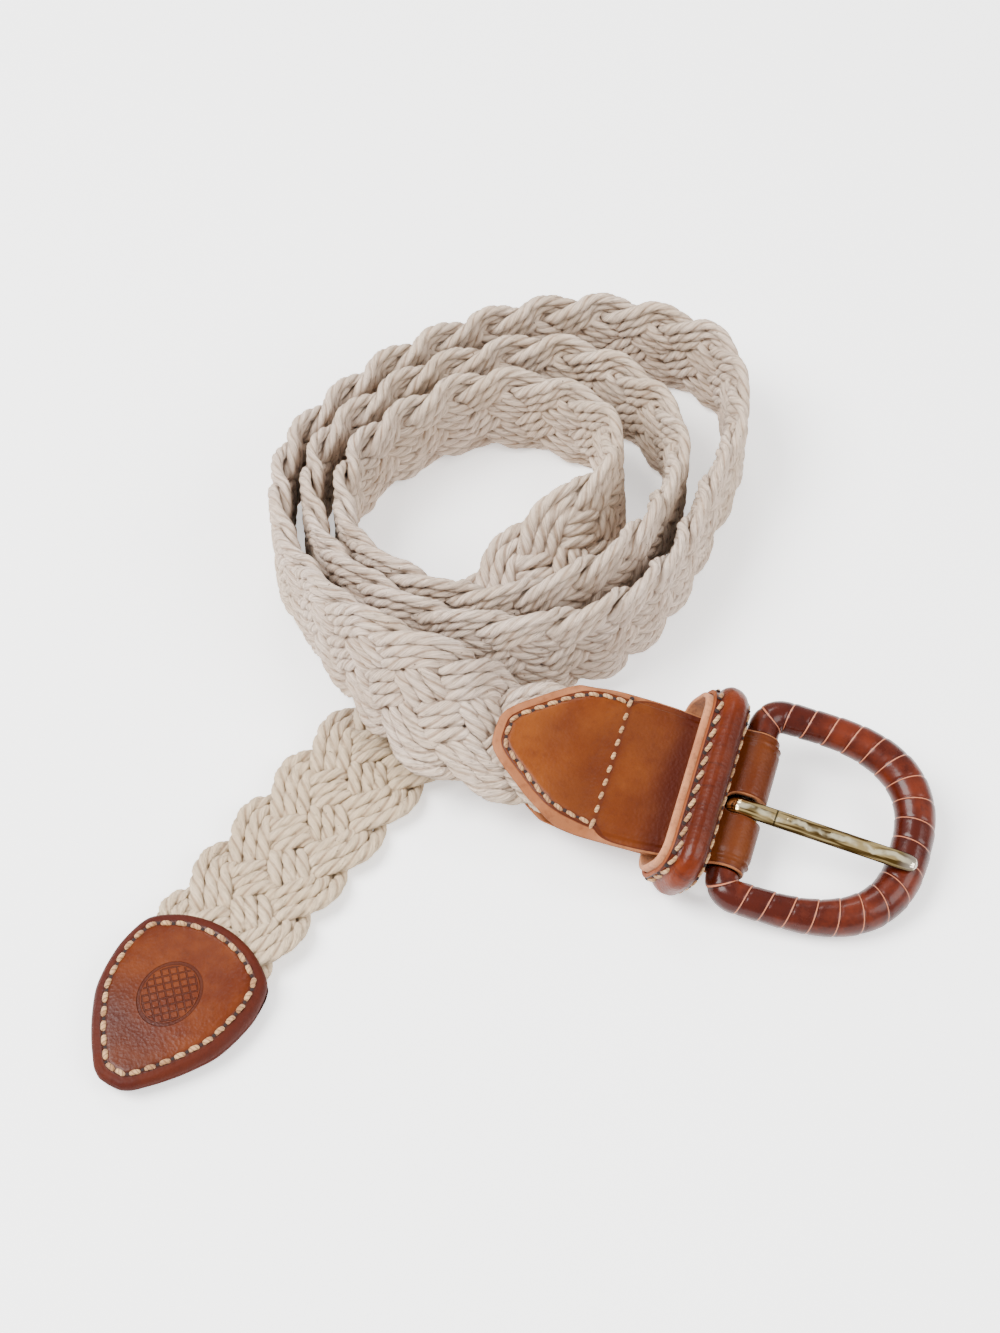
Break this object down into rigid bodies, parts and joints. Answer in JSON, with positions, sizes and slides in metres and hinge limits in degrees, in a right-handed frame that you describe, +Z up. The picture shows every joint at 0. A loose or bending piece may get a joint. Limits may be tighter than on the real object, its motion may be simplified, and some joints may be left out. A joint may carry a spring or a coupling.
{
  "type": "braided belt",
  "caption": "Plaited cotton belt with stitched leather ends and a leather-wrapped D buckle, lying coiled on its edge with both ends crossed in front.",
  "frame": {"origin": "under the middle of the whole belt's box, on the surface that it lies on", "axes": "+Z up; +X to the right in the picture, the side of the buckle; +Y away from the camera, from the two crossed ends to the coil"},
  "size_m": [0.2046, 0.2316, 0.0431],
  "materials": {
    "cotton": "plaited from twisted ecru cotton cords",
    "tan_leather": "smooth, lightly waxed",
    "raw_edge": "raw flesh side and cut edges",
    "brown_leather": "burnished over padding",
    "wrap_leather": "polished, wound round the frame",
    "steel": "plain wire",
    "antique_brass": "polished with dark patina"
  },
  "bodies": {
    "belt": {"braid_strap": "cotton", "tip_front": "tan_leather", "tip_back": "tan_leather", "chape": "tan_leather", "keeper_lining": "raw_edge", "keeper_cover": "brown_leather"},
    "buckle_frame": {"wrapped_frame": "wrap_leather", "heel_bar": "steel"},
    "prong": {"prong": "antique_brass"}
  },
  "joints": [
    {"name": "frame_hinge", "type": "hinge", "parent": "belt", "child": "buckle_frame", "pos_m": [0.05466, -0.0408, 0.01236], "axis": [0.2917, 0.9374, 0.1901], "range_deg": [-28, 15]},
    {"name": "prong_hinge", "type": "hinge", "parent": "buckle_frame", "child": "prong", "pos_m": [0.05466, -0.0408, 0.01236], "axis": [0.2917, 0.9374, 0.1901], "range_deg": [-40, 0]}
  ]
}
